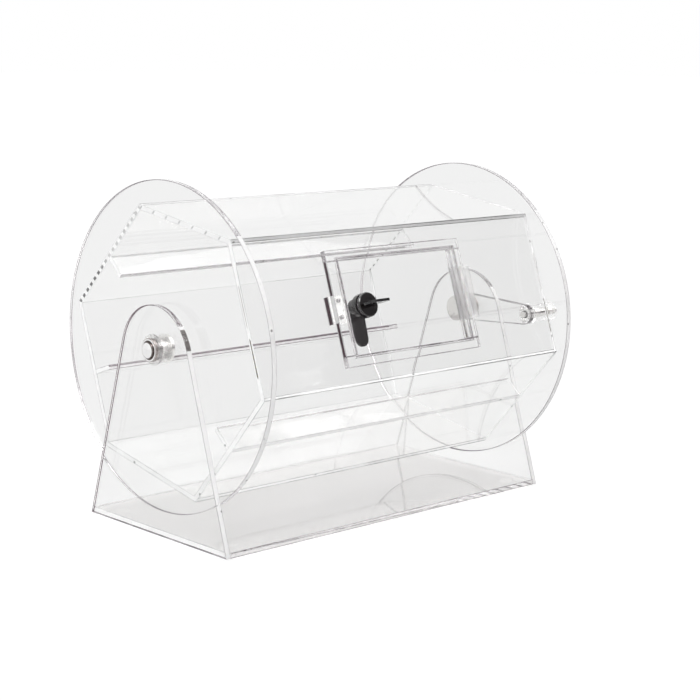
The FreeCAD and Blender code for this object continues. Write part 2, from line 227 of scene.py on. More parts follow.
def noise(tree, vector, scale, detail=2.0):
    node = tree.nodes.new("ShaderNodeTexNoise")
    join(tree, vector, node.inputs["Vector"])
    node.inputs["Scale"].default_value = scale
    node.inputs["Detail"].default_value = detail
    return node.outputs["Fac"]


def streaks(tree, place, scale, detail=2.0):
    """Noise with a scale of its own along each axis."""
    return noise(tree, vectors(tree, "MULTIPLY", place, scale), 1.0, detail)


def spots(tree, vector, scale, radius):
    """1 inside small scattered round spots, 0 outside."""
    node = tree.nodes.new("ShaderNodeTexVoronoi")
    join(tree, vector, node.inputs["Vector"])
    node.inputs["Scale"].default_value = scale
    return smooth(tree, node.outputs["Distance"], radius * 0.6, radius, 1.0, 0.0)


def bumps(tree, shader, height, distance):
    node = tree.nodes.new("ShaderNodeBump")
    node.inputs["Distance"].default_value = distance
    join(tree, height, node.inputs["Height"])
    tree.links.new(node.outputs[0], shader.inputs["Normal"])


def place_of(tree):
    return tree.nodes.new("ShaderNodeTexCoord").outputs["Object"]


def axes_of(tree, vector):
    node = tree.nodes.new("ShaderNodeSeparateXYZ")
    tree.links.new(vector, node.inputs[0])
    return node.outputs


def measured(tree, place, direction):
    """How far a place lies along a direction."""
    return vectors(tree, "DOT_PRODUCT", place, tuple(direction))


def off_middle(tree, value, low, high):
    return maths(tree, "ABSOLUTE", maths(tree, "SUBTRACT", value, (low + high) / 2))


def round_distance(tree, place, centre, axis):
    """Distance from a line through centre, along axis."""
    offset = vectors(tree, "SUBTRACT", place, tuple(centre))
    along = measured(tree, offset, axis)
    return vectors(tree, "LENGTH", vectors(tree, "SUBTRACT", offset, scaled(tree, tuple(axis), along)))


def grey(value):
    return (value, value, value)


def new_material(name):
    material = bpy.data.materials.new(name)
    material.use_nodes = True
    tree = material.node_tree
    shader = tree.nodes["Principled BSDF"]
    return material, tree, shader


def let_lamps_through(tree, shader, shade):
    """Lamp light passes the clear part with a little loss, as through real sheet."""
    output = tree.nodes["Material Output"]
    path = tree.nodes.new("ShaderNodeLightPath")
    window = tree.nodes.new("ShaderNodeBsdfTransparent")
    window.inputs["Color"].default_value = (shade, shade, shade, 1)
    mix = tree.nodes.new("ShaderNodeMixShader")
    tree.links.new(path.outputs["Is Shadow Ray"], mix.inputs[0])
    tree.links.new(shader.outputs[0], mix.inputs[1])
    tree.links.new(window.outputs[0], mix.inputs[2])
    tree.links.new(mix.outputs[0], output.inputs["Surface"])
    return output


def see_through(tree, output, share):
    """Lets a share of the view straight through, in front of whatever the surface already is."""
    clear = tree.nodes.new("ShaderNodeBsdfTransparent")
    mix = tree.nodes.new("ShaderNodeMixShader")
    join(tree, share, mix.inputs[0])
    tree.links.new(output.inputs["Surface"].links[0].from_socket, mix.inputs[1])
    tree.links.new(clear.outputs[0], mix.inputs[2])
    tree.links.new(mix.outputs[0], output.inputs["Surface"])


def extent(name, direction):
    """How far a CAD node reaches along a direction, low and high."""
    reach = [vertex.co.dot(direction) for vertex in nodes[name].data.vertices]
    return min(reach), max(reach)


def within(tree, place, direction, low, high):
    """1 between two planes square to a direction."""
    off = off_middle(tree, measured(tree, place, direction), low, high)
    return maths(tree, "LESS_THAN", off, (high - low) / 2)


def shared(first, second):
    """The value at which two ranges touch end to end."""
    pairs = [(a, b) for a in first for b in second]
    return sum(min(pairs, key=lambda pair: abs(pair[0] - pair[1]))) / 2


def bonded_frame(tree, place):
    """1 where the stop frame is cemented to the back of the door side, so that no gap mirrors there."""
    outward = main_normal(nodes["door_side"].data)
    up = outward.cross(X_AXIS)
    rail = extent("upper_stop_rail", outward)
    side = extent("door_side", outward)
    plane = shared(side, rail)
    ends = extent("door_side", X_AXIS)
    corners = [vertex.co for vertex in nodes["door_side"].data.vertices]
    cut = [corner for corner in corners if ends[0] + HOLE_SLACK < corner.x < ends[1] - HOLE_SLACK]
    mask = within(tree, place, outward, plane - PLANE_SLACK, plane + PLANE_SLACK)
    way = 1.0
    for direction, rails in ((X_AXIS, ("upper_stop_rail",)), (up, ("upper_stop_rail", "lower_stop_rail"))):
        reach = [end for rail_name in rails for end in extent(rail_name, direction)]
        mask = maths(tree, "MULTIPLY", mask, within(tree, place, direction, min(reach), max(reach)))
        hole = [corner.dot(direction) for corner in cut]
        way = maths(tree, "MULTIPLY", way, within(tree, place, direction, min(hole), max(hole)))
    return maths(tree, "MULTIPLY", mask, maths(tree, "SUBTRACT", 1, way))


def clear_face(name, tint, haze, bond=None):
    """The polished face of a cast sheet: faint waves, a few wiped smears and hardly any colour."""
    material, tree, shader = new_material(name)
    place = place_of(tree)
    cloud = noise(tree, place, 9.0, 3.0)
    smear = smooth(tree, streaks(tree, place, (30.0, 30.0, 9.0), 4.0), 0.62, 0.8)
    darker = tuple(channel * 0.985 for channel in tint)
    join(tree, blend(tree, cloud, tint, darker), shader.inputs["Base Color"])
    join(tree, maths(tree, "MULTIPLY", smear, haze), shader.inputs["Roughness"])
    shader.inputs["IOR"].default_value = ACRYLIC_IOR
    shader.inputs["Transmission Weight"].default_value = 1
    bumps(tree, shader, noise(tree, place, 14.0, 1.0), 0.05 * MM)
    output = let_lamps_through(tree, shader, 0.975)
    if bond:
        see_through(tree, output, bond(tree, place))
    return material


def cut_edge(name, across, tint, waves, thin, painted_dark=None):
    """A sawn and flame-polished edge: fine marks run across the sheet's thickness.

    The last argument gives a share of the edge, 0 to 1, where a painted dark brown reflection hides what is
    behind it.
    """
    material, tree, shader = new_material(name)
    place = place_of(tree)
    depth = measured(tree, place, across)
    along = vectors(tree, "SUBTRACT", place, scaled(tree, across, depth))
    fine = noise(tree, along, 900.0, 2.0)
    broad = noise(tree, along, 190.0, 1.0)
    marks = smooth(tree, broad, 0.42, 0.66)
    darker = tuple(channel * 0.86 for channel in tint)
    colour = blend(tree, marks, tint, darker)
    shader.inputs["Transmission Weight"].default_value = 1
    # Painted dark reflection on the chosen share of the edge
    if painted_dark:
        share = painted_dark(tree, place)
        colour = blend(tree, share, colour, JAMB_DARK_REFLECTION)
        join(tree, maths(tree, "SUBTRACT", 1, share), shader.inputs["Transmission Weight"])
    join(tree, colour, shader.inputs["Base Color"])
    join(tree, smooth(tree, fine, 0.3, 0.8, 0.02, 0.16), shader.inputs["Roughness"])
    shader.inputs["IOR"].default_value = ACRYLIC_IOR
    height = maths(tree, "ADD", maths(tree, "MULTIPLY", fine, 0.25), broad)
    bumps(tree, shader, height, waves)
    output = let_lamps_through(tree, shader, 0.95)
    if thin:
        see_through(tree, output, thin)
    return material


def cement(name, line_colour, dashes=None, core=None, glow=0.1, line_start=0.37):
    """A bright glued edge between two thin grey lines of painted edge shade, with small bubbles and a faint
    painted glow.

    Dashes are (pitch, start, full, low, high): the sine's value where a dash starts and where it is full,
    and the heights between which dark dashes turn into pale ones. A core is the lowest and highest height of
    a joint that has a dark line along its middle, in stretches.
    """
    material, tree, shader = new_material(name)
    along, across, _ = axes_of(tree, tree.nodes.new("ShaderNodeTexCoord").outputs["UV"])
    from_middle = off_middle(tree, across, 0, 1)
    place = place_of(tree)
    height = axes_of(tree, place)[2]
    waver = maths(tree, "MULTIPLY", maths(tree, "SUBTRACT", noise(tree, place, 120.0), 0.5), 0.16)
    line = smooth(tree, maths(tree, "ADD", from_middle, waver), line_start, line_start + 0.08)
    faded = smooth(tree, noise(tree, place, 17.0), 0.35, 0.6, 0.4, 1.0)
    line = maths(tree, "MULTIPLY", line, faded)
    body = blend(tree, noise(tree, place, 40.0), grey(0.95), grey(0.86))
    if dashes:
        pitch, start, full, low, high = dashes
        slanted = maths(tree, "ADD", along, maths(tree, "MULTIPLY", across, pitch * 0.3))
        wave = maths(tree, "SINE", maths(tree, "MULTIPLY", slanted, 2 * math.pi / pitch))
        dash = smooth(tree, maths(tree, "ADD", wave, waver), start, full)
        dash = maths(tree, "MULTIPLY", dash, smooth(tree, from_middle, 0.26, 0.40, 1.0, 0.0))
        colour = blend(tree, smooth(tree, height, low, high), grey(0.12), grey(0.55))
        body = blend(tree, dash, body, colour)
    if core:
        low, high = core
        share = maths(tree, "DIVIDE", maths(tree, "SUBTRACT", height, low), high - low)
        reach = 0.0
        for start, end, strength in CORE_STRETCHES:
            begun = smooth(tree, share, start - CORE_FADE, start)
            ended = smooth(tree, share, end, end + CORE_FADE, strength, 0.0)
            stretch = maths(tree, "MULTIPLY", begun, ended)
            reach = maths(tree, "MAXIMUM", reach, stretch)
        middle = smooth(tree, maths(tree, "ADD", from_middle, waver), 0.10, 0.20, 1.0, 0.0)
        body = blend(tree, maths(tree, "MULTIPLY", middle, reach), body, CORE_COLOUR)
    body = blend(tree, spots(tree, place, 75.0, 0.13), body, grey(0.25))
    colour = blend(tree, line, body, line_colour)
    join(tree, colour, shader.inputs["Base Color"])
    # Painted glow: the joint gives off a little of its own colour
    join(tree, colour, shader.inputs["Emission Color"])
    shader.inputs["Emission Strength"].default_value = glow
    shader.inputs["Roughness"].default_value = 0.45
    shader.inputs["Specular IOR Level"].default_value = 0.2
    return material


def cloudy_block():
    """A small cast block, milky where it was sawn and cemented, with a faint painted glow."""
    material, tree, shader = new_material("cloudy_block")
    place = place_of(tree)
    cloud = noise(tree, place, 260.0, 3.0)
    join(tree, blend(tree, cloud, (0.99, 0.99, 0.98), (0.93, 0.93, 0.92)), shader.inputs["Base Color"])
    join(tree, smooth(tree, cloud, 0.3, 0.7, 0.25, 0.45), shader.inputs["Roughness"])
    shader.inputs["IOR"].default_value = ACRYLIC_IOR
    shader.inputs["Transmission Weight"].default_value = 0.45
    # Painted glow: the block gives off a little light of its own
    shader.inputs["Emission Color"].default_value = (1, 1, 0.99, 1)
    shader.inputs["Emission Strength"].default_value = 0.22
    bumps(tree, shader, noise(tree, place, 900.0), 0.02 * MM)
    return material


def dark_edge(name, gap):
    """The sawn edge by the keeper, with a painted reflection of the room's dark along its middle, with a
    purple cast.
    """
    material, tree, shader = new_material("dark_edge_of_" + name)
    place = place_of(tree)
    outward = main_normal(nodes["door_side"].data)
    low, high = extent(name, outward)
    off = off_middle(tree, measured(tree, place, outward), low, high)
    waver = maths(tree, "MULTIPLY", noise(tree, place, 160.0), 0.5 * MM)
    half = (high - low) / 2
    dark = smooth(tree, maths(tree, "ADD", off, waver), half * 0.62, half * 0.85, 1.0, 0.0)
    if gap:
        up = outward.cross(X_AXIS)
        covered = within(tree, place, up, *extent(gap, up))
        dark = maths(tree, "MULTIPLY", dark, maths(tree, "SUBTRACT", 1, covered))
    streak = streaks(tree, place, (700.0, 700.0, 90.0))
    purple = blend(tree, streak, DARK_PURPLE, PALE_PURPLE)
    join(tree, blend(tree, dark, grey(0.62), purple), shader.inputs["Base Color"])
    join(tree, smooth(tree, streak, 0.3, 0.7, 0.25, 0.4), shader.inputs["Roughness"])
    shader.inputs["Specular IOR Level"].default_value = 0.2
    return material


def clear_soft(name, tint, roughness, lumps, thin):
    """Clear turned or moulded plastic with a faint haze and tool marks."""
    material, tree, shader = new_material(name)
    place = place_of(tree)
    rings = streaks(tree, place, (900.0, 60.0, 60.0))
    darker = tuple(channel * 0.9 for channel in tint)
    join(tree, blend(tree, noise(tree, place, 150.0), tint, darker), shader.inputs["Base Color"])
    join(tree, smooth(tree, rings, 0.3, 0.7, roughness * 0.6, roughness * 1.4), shader.inputs["Roughness"])
    shader.inputs["IOR"].default_value = NYLON_IOR
    shader.inputs["Transmission Weight"].default_value = 1
    bumps(tree, shader, rings, lumps)
    see_through(tree, let_lamps_through(tree, shader, 0.9), thin)
    return material


def plated(name, colour, roughness, marks):
    """Bright plating with fine tool marks, at a scale for each axis, and a few duller spots of wear."""
    material, tree, shader = new_material(name)
    place = place_of(tree)
    rings = streaks(tree, place, marks, 3.0)
    wear_and_glint = smooth(tree, noise(tree, place, 240.0, 3.0), 0.55, 0.72)
    dull = tuple(channel * 0.72 for channel in colour)
    join(tree, blend(tree, wear_and_glint, colour, dull), shader.inputs["Base Color"])
    shine = maths(tree, "ADD", smooth(tree, rings, 0.3, 0.7, roughness * 0.6, roughness * 1.5),
                  maths(tree, "MULTIPLY", wear_and_glint, 0.08))
    join(tree, shine, shader.inputs["Roughness"])
    shader.inputs["Metallic"].default_value = 1
    bumps(tree, shader, rings, 0.01 * MM)
    return material


def turned_chrome(name, node, axis, bands, roughness, dome=0.0):
    """Bright turned metal; each band is a painted ring of shade and reflection, (start, end, colour), as
    shares of the radius round its axis.
    """
    material, tree, shader = new_material(name)
    place = place_of(tree)
    low, high = (Vector(corner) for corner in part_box(node))
    centre = (low + high) / 2
    radius = max((vertex.co - centre).cross(axis).length for vertex in nodes[node].data.vertices)
    share = maths(tree, "DIVIDE", round_distance(tree, place, centre, axis), radius)
    colour = blend(tree, noise(tree, place, 240.0, 3.0), grey(0.95), grey(0.84))
    for start, end, shade in bands:
        inner = smooth(tree, share, start - 0.03, start)
        outer = smooth(tree, share, end, end + 0.03, 1.0, 0.0)
        colour = blend(tree, maths(tree, "MULTIPLY", inner, outer), colour, shade)
    join(tree, colour, shader.inputs["Base Color"])
    rings = noise(tree, scaled(tree, share, 40.0), 1.0, 2.0)
    join(tree, smooth(tree, rings, 0.3, 0.7, roughness * 0.6, roughness * 1.5), shader.inputs["Roughness"])
    shader.inputs["Metallic"].default_value = 1
    swell = maths(tree, "MULTIPLY", maths(tree, "MULTIPLY", share, share), -dome)
    bumps(tree, shader, maths(tree, "ADD", swell, maths(tree, "MULTIPLY", rings, 0.01)), MM)
    return material


def two_part(name, material, other, chosen):
    """One material for a node, and another for the faces that are chosen."""
    mesh = nodes[name].data
    mesh.materials.clear()
    mesh.materials.append(material)
    mesh.materials.append(other)
    for polygon in mesh.polygons:
        polygon.material_index = 1 if chosen(polygon) else 0


def dress_metal():
    """Axle caps with painted dark rings of shade and reflection at the groove and the rim and darker painted
    side walls, and the cam's screw with a painted dark ring and painted shade in its cross recess.
    """
    shade = (0.11, 0.09, 0.085)
    bands = [(*CAP_GROOVE, shade), (*CAP_RIM, (0.45, 0.42, 0.41))]
    # The caps' side walls: a darker copy of the chrome, a painted reflection of the room's dark
    wall = plated("cap_wall_shade", (0.42, 0.38, 0.37), 0.22, LATHE_MARKS)

    def beside(polygon):
        return abs(polygon.normal.x) < 0.3

    for name in ("left_axle_cap", "right_axle_cap"):
        face = turned_chrome("face_of_" + name, name, X_AXIS, bands, 0.10)
        two_part(name, face, wall, beside)
    across = main_normal(nodes["door_leaf"].data)
    screw = nodes["cam_screw"].data
    top = min(vertex.co.dot(across) for vertex in screw.vertices)
    head = turned_chrome("face_of_cam_screw", "cam_screw", across, [(0.86, 0.93, grey(0.2))], 0.08, 0.9)
    # Painted shade: the screw's cross recess is coloured near black
    recess = black_gloss("screw_recess_shade", (0.012, 0.011, 0.011), 0.3)

    def sunk(polygon):
        depth = polygon.center.dot(across) - top
        return 0.3 * MM < depth < 1.5 * MM and abs(polygon.normal.dot(across)) > FACING

    two_part("cam_screw", head, recess, sunk)
    dots = turned_chrome("face_of_keeper_screws", "keeper_screws", X_AXIS, [], 0.2)
    nodes["keeper_screws"].data.materials.clear()
    nodes["keeper_screws"].data.materials.append(dots)


def black_gloss(name, colour, roughness):
    """Glossy black plating, greyer where hands rub it."""
    material, tree, shader = new_material(name)
    place = place_of(tree)
    rubbed = smooth(tree, noise(tree, place, 170.0, 4.0), 0.5, 0.75)
    paler = tuple(channel * 2.0 + 0.006 for channel in colour)
    join(tree, blend(tree, rubbed, colour, paler), shader.inputs["Base Color"])
    grain = noise(tree, place, 1500.0, 2.0)
    join(tree, smooth(tree, rubbed, 0.0, 1.0, roughness, roughness * 2.2), shader.inputs["Roughness"])
    shader.inputs["Coat Weight"].default_value = 0.5
    shader.inputs["Coat Roughness"].default_value = 0.06
    bumps(tree, shader, grain, 0.006 * MM)
    return material


def main_normal(mesh):
    """The direction square to the sheet: that of its largest face."""
    sums = {}
    for polygon in mesh.polygons:
        normal = polygon.normal
        if max(normal, key=abs) < 0:
            normal = -normal
        key = tuple(round(part, 2) for part in normal)
        total, area = sums.get(key, (Vector(), 0.0))
        sums[key] = (total + normal * polygon.area, area + polygon.area)
    return max(sums.values(), key=lambda entry: entry[1])[0].normalized()


def painted_highlight_edge():
    """A flame-polished edge that faces the window, painted milky white as a highlight with a faint painted
    glow, with dark pits and a few short scratches.
    """
    material, tree, shader = new_material("painted_highlight_edge")
    place = place_of(tree)
    body = blend(tree, noise(tree, place, 60.0), grey(0.97), grey(0.86))
    pits = spots(tree, place, 95.0, 0.14)
    scratch = smooth(tree, streaks(tree, place, (900.0, 60.0, 60.0)), 0.68, 0.74)
    marks = maths(tree, "MAXIMUM", pits, maths(tree, "MULTIPLY", scratch, 0.5))
    colour = blend(tree, marks, body, grey(0.30))
    join(tree, colour, shader.inputs["Base Color"])
    join(tree, colour, shader.inputs["Emission Color"])
    shader.inputs["Emission Strength"].default_value = 0.12
    shader.inputs["Roughness"].default_value = 0.25
    shader.inputs["IOR"].default_value = ACRYLIC_IOR
    shader.inputs["Transmission Weight"].default_value = 0.35
    return material


def painted_dark_crown():
    """A painted reflection of the room's dark side on a stretch of the left upright's crown."""
    material, tree, shader = new_material("painted_dark_crown")
    place = place_of(tree)
    streak = streaks(tree, place, (40.0, 260.0, 260.0))
    join(tree, blend(tree, streak, CROWN_DARK, CROWN_PALE), shader.inputs["Base Color"])
    join(tree, smooth(tree, streak, 0.3, 0.7, 0.2, 0.4), shader.inputs["Roughness"])
    gaps = smooth(tree, noise(tree, place, 120.0), 0.55, 0.7, 0.0, 0.8)
    see_through(tree, tree.nodes["Material Output"], gaps)
    return material


def repaint(name, material, chosen):
    """Gives the chosen faces of a node one more material."""
    mesh = nodes[name].data
    mesh.materials.append(material)
    number = len(mesh.materials) - 1
    for polygon in mesh.polygons:
        if chosen(polygon):
            polygon.material_index = number


def dress_front_edges():
    """Painted highlight on the discs' and uprights' edges towards the front, and painted dark reflection on
    a stretch of the left crown.
    """
    low, high = DARK_CROWN

    def faces_window(polygon):
        return polygon.normal.y < FRONT_EDGE

    def on_dark_crown(polygon):
        return polygon.normal.y < 0 and low < polygon.normal.z < high

    bright = painted_highlight_edge()
    for name in ["left_upright", "right_upright"] + DISCS:
        repaint(name, bright, faces_window)
    repaint("left_upright", painted_dark_crown(), on_dark_crown)


def painted_jamb_reflection(tree, place):
    """Where the painted dark reflection lies: the upper end of the door way's hinge side, where the edge
    mirrors something dark.
    """
    outward = main_normal(nodes["door_side"].data)
    up = outward.cross(X_AXIS)
    up = up if up.z > 0 else -up
    waver = maths(tree, "MULTIPLY", noise(tree, place, 90.0), 6 * MM)
    height = maths(tree, "ADD", measured(tree, place, up), waver)
    start = extent("door_leaf", up)[1] - JAMB_REFLECTION_LENGTH
    dark_reflected = smooth(tree, height, start, start + 3 * MM)
    depth = off_middle(tree, measured(tree, place, outward), *extent("door_side", outward))
    core = smooth(tree, depth, 1.0 * MM, 1.8 * MM, 1.0, 0.0)
    return maths(tree, "MULTIPLY", dark_reflected, core)


def dress_door_way(face):
    """The door side, with its own edge on the hinge side of the opening, which carries a painted dark
    reflection.
    """
    dress_sheet("door_side", face, thin=0.5)
    mesh = nodes["door_side"].data
    across = main_normal(mesh)
    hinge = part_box("hinge_pin")[0][0]
    mesh.materials.append(cut_edge("hinge_edge", tuple(across), EDGE_TINT, 0.03 * MM, 0, painted_jamb_reflection))
    for polygon in mesh.polygons:
        if polygon.normal.x < -FACING and abs(polygon.center.x - hinge) < JAMB_REACH:
            polygon.material_index = 2


def dress_sheet(name, face, tint=EDGE_TINT, waves=0.12 * MM, thin=0):
    """Polished faces and cut edges."""
    mesh = nodes[name].data
    across = main_normal(mesh)
    edge = cut_edge("edge_of_" + name, tuple(across), tint, waves, thin)
    mesh.materials.clear()
    mesh.materials.append(face)
    mesh.materials.append(edge)
    for polygon in mesh.polygons:
        polygon.material_index = 0 if abs(polygon.normal.dot(across)) > FLAT else 1


def darken_outer_end(name, materials, gap=None):
    """The edge that faces away from the door way, towards -X, gets a painted reflection of the room's dark,
    but not behind gap.
    """
    mesh = nodes[name].data
    mesh.materials.clear()
    for material in materials + [dark_edge(name, gap)]:
        mesh.materials.append(material)
    for polygon in mesh.polygons:
        if polygon.normal.x < -FACING:
            polygon.material_index = len(materials)


def dress():
    """Every CAD node gets its materials, by its slot in the record or by its own name."""
    slots = {part["node"]: part["material_slot"] for part in frame["record"]["subparts"]}
    cloudy = cloudy_block()
    clear = clear_face("clear_acrylic", CLEAR_TINT, 0.05)
    framed = clear_face("framed_acrylic", CLEAR_TINT, 0.05, bonded_frame)
    warm = clear_face("base_acrylic", BASE_TINT, 0.06)
    whole = {
        "clear_nylon": clear_soft("clear_nylon", (0.96, 0.96, 0.95), 0.05, 0.03 * MM, 0.55),
        "hinge_plastic": clear_soft("hinge_plastic", (0.97, 0.97, 0.97), 0.05, 0.002 * MM, 0.65),
        "clear_rubber": clear_soft("clear_rubber", (0.95, 0.95, 0.93), 0.20, 0.05 * MM, 0.8),
        "chrome": plated("chrome", (0.80, 0.79, 0.77), 0.10, LATHE_MARKS),
        "steel": plated("steel", (0.86, 0.85, 0.84), 0.38, (200.0, 200.0, 60.0)),
        "black_metal": black_gloss("black_metal", (0.006, 0.005, 0.005), 0.10),
        "black_key": black_gloss("black_key", (0.008, 0.008, 0.009), 0.16),
    }
    for name, node in nodes.items():
        slot = slots[name]
        if slot == "base_acrylic":
            dress_sheet(name, warm, BASE_EDGE_TINT)
        elif name == "lock_keeper":
            darken_outer_end(name, [cloudy])
        elif name in STOP_FRAME:
            dress_sheet(name, framed, thin=0.6)
            if name == "keeper_stop_stile":
                darken_outer_end(name, list(node.data.materials), "lock_keeper")
        elif name == "door_side":
            dress_door_way(framed)
        elif name == "door_leaf":
            dress_sheet(name, clear, thin=0.45)
        elif name in DISCS:
            dress_sheet(name, clear, waves=0.008 * MM)
        elif name == "rear_lower_fin":
            # Painted dark reflection: the rear lower fin's edges take the darker tint
            dress_sheet(name, clear, DARK_EDGE_TINT)
        elif slot == "clear_acrylic" and name != "crank_grip":
            dress_sheet(name, clear)
        else:
            node.data.materials.clear()
            node.data.materials.append(whole.get(slot, clear))


# Glue joints
def strips(name, outlines, material, body):
    """Thin bars on four-cornered outlines; the first and second corners run along one side of each."""
    build = bmesh.new()
    layer = build.loops.layers.uv.new("chart")
    for outline in outlines:
        p = [Vector(corner) for corner in outline]
        centre = sum(p, Vector()) / 4
        p = [corner + (centre - corner).normalized() * JOINT_INSET for corner in p]
        push = (p[1] - p[0]).cross(p[3] - p[0]).normalized() * JOINT_REACH
        near = [build.verts.new(corner - push) for corner in p]
        far = [build.verts.new(corner + push) for corner in p]
        places = ((0, 0), ((p[1] - p[0]).length, 0), ((p[2] - p[3]).length, 1), (0, 1))
        chart = {vertex: place for ring in (near, far) for vertex, place in zip(ring, places)}
        faces = [build.faces.new(near), build.faces.new(list(reversed(far)))]
        for i in range(4):
            j = (i + 1) % 4
            faces.append(build.faces.new((near[j], near[i], far[i], far[j])))
        for face in faces:
            for loop in face.loops:
                loop[layer].uv = chart[loop.vert]
    bmesh.ops.recalc_face_normals(build, faces=build.faces)
    mesh = bpy.data.meshes.new(name)
    build.to_mesh(mesh)
    build.free()
    mesh.materials.append(material)
    add_piece(name, mesh, body)


def add_piece(name, data, body):
    piece = bpy.data.objects.new(name, data)
    scene.collection.objects.link(piece)
    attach(piece, body)


def end_corners(name, sign):
    """The four corners of a long bar's section at its left or right end, with its longest side first."""
    x = extent(name, X_AXIS)[0 if sign < 0 else 1]
    found = {}
    for vertex in nodes[name].data.vertices:
        if abs(vertex.co.x - x) < TOUCH:
            found[(round(vertex.co.y, 6), round(vertex.co.z, 6))] = vertex.co.copy()
    points = list(found.values())
    centre = sum(points, Vector()) / len(points)
    points.sort(key=lambda point: math.atan2(point.z - centre.z, point.y - centre.y))
    longest = max(range(len(points)), key=lambda i: (points[i] - points[i - 1]).length)
    start = (longest - 1) % len(points)
    return [points[(start + i) % len(points)] for i in range(len(points))]


def stretched(corner, other_end):
    """The same corner at the far end of the bar."""
    return Vector((other_end, corner.y, corner.z))


def heights(name):
    low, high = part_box(name)
    return low[2], high[2]


def add_joints():
    """The cement where the drum's bars meet the discs and each other, and the base meets the uprights."""
    plain = cement("plain_joint", grey(0.40))
    cored = cement("cored_joint", grey(0.45), core=heights("door_side"))
    dashed = cement("dashed_joint", grey(0.62), (DASH_PITCH, -0.2, 0.3, *heights("rear_upper_fin")))
    dotted = cement("dotted_joint", grey(0.72), (DOT_PITCH, 0.90, 0.97, -2.0, -1.0), glow=0.02)
    long_joint = cement("long_joint", grey(0.20), glow=0.0, line_start=0.27)
    special = {
        "rear_upper_side": ("_dashed_joint", dashed),
        "top_side": ("_dotted_joint", dotted),
        "door_side": ("_cored_joint", cored),
    }
    for end, sign in (("left", -1), ("right", 1)):
        others = [end_corners(name, sign) for name in SIDES + FINS if name not in special]
        for name, (title, material) in special.items():
            strips(end + title, [end_corners(name, sign)], material, "drum")
        strips(end + "_plain_joints", others, plain, "drum")
        low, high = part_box("base_plate")
        x = (low if sign < 0 else high)[0]
        outline = [(x, low[1], low[2]), (x, high[1], low[2]), (x, high[1], high[2]), (x, low[1], high[2])]
        strips(end + "_base_joint", [outline], plain, "stand")
    mitres = []
    for name in SIDES:
        _, outer, inner, _ = end_corners(name, -1)
        far = extent(name, X_AXIS)[1]
        mitres.append([outer, stretched(outer, far), stretched(inner, far), inner])
    strips("long_joints", mitres, long_joint, "drum")
    roots = []
    for name in FINS:
        corners = end_corners(name, -1)
        far = extent(name, X_AXIS)[1]
        a, b = corners[1:3] if root_first(corners) else (corners[3], corners[0])
        roots.append([a, stretched(a, far), stretched(b, far), b])
    strips("fin_joints", roots, plain, "drum")


def turned(name, profile, centre, material, body):
    """A ring round the axle, from a closed profile of (x, radius) points."""
    build = bmesh.new()
    rings = []
    for step in range(TURNING_STEPS):
        angle = 2 * math.pi * step / TURNING_STEPS
        y, z = math.cos(angle), math.sin(angle)
        rings.append([build.verts.new((x, centre.y + r * y, centre.z + r * z)) for x, r in profile])
    for ring, after in zip(rings, rings[1:] + rings[:1]):
        for j, corner in enumerate(ring):
            k = (j + 1) % len(ring)
            build.faces.new((corner, ring[k], after[k], after[j]))
    bmesh.ops.recalc_face_normals(build, faces=build.faces)
    mesh = bpy.data.meshes.new(name)
    build.to_mesh(mesh)
    build.free()
    mesh.materials.append(material)
    add_piece(name, mesh, body)


def off_axle(point, axle):
    """Distance from the axle's line, which runs along X."""
    return math.hypot(point.y - axle.y, point.z - axle.z)


def add_hub_linings():
    """Bright metal skins where an axle stub and its flange are cemented in the disc."""
    satin = plated("satin_metal", (0.95, 0.94, 0.93), 0.30, LATHE_MARKS)
    for end, inward in (("left", 1), ("right", -1)):
        low, high = (Vector(corner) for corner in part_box(end + "_axle"))
        centre = (low + high) / 2
        flange = (high.z - low.z) / 2 - JOINT_INSET
        tip = low.x if inward > 0 else high.x
        points = [vertex.co for vertex in nodes[end + "_axle"].data.vertices]
        stub = max(off_axle(point, centre) for point in points if abs(point.x - tip) < TOUCH)
        plane = extent(end + "_disc", X_AXIS)[1 if inward > 0 else 0]
        outer_end = extent(end + "_collar", X_AXIS)[0 if inward > 0 else 1] + inward * JOINT_INSET
        near, far = plane - inward * JOINT_REACH, plane + inward * JOINT_REACH
        skin, core = stub + JOINT_REACH, stub - JOINT_REACH
        sleeve = [(outer_end, core), (outer_end, skin), (near, skin)]
        profile = sleeve + [(near, flange), (far, flange), (far, core)]
        turned(end + "_hub_lining", profile, centre, satin, "drum")


def root_first(corners):
    """Whether the fin's second and third corners lie further from the axle than its first and fourth."""
    low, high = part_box("left_disc")
    axle = (Vector(low) + Vector(high)) / 2
    away = [off_axle(corner, axle) for corner in corners]
    return away[1] + away[2] > away[0] + away[3]


# Arrises
def arris_material(name, faintest, strongest, colours=GREY_LINE, grain=SHORT_GRAIN):
    """A pencil-thin painted line that fades and darkens along its length."""
    light, dark = colours
    material, tree, shader = new_material(name)
    place = place_of(tree)
    shade = smooth(tree, noise(tree, place, grain * 0.64, 2.0), 0.38, 0.62)
    join(tree, blend(tree, shade, light, dark), shader.inputs["Base Color"])
    shader.inputs["Roughness"].default_value = 0.4
    shader.inputs["Specular IOR Level"].default_value = 0.1
    faded = smooth(tree, noise(tree, place, grain, 2.0), 0.3, 0.62, 1 - faintest, 1 - strongest)
    see_through(tree, tree.nodes["Material Output"], faded)
    return material


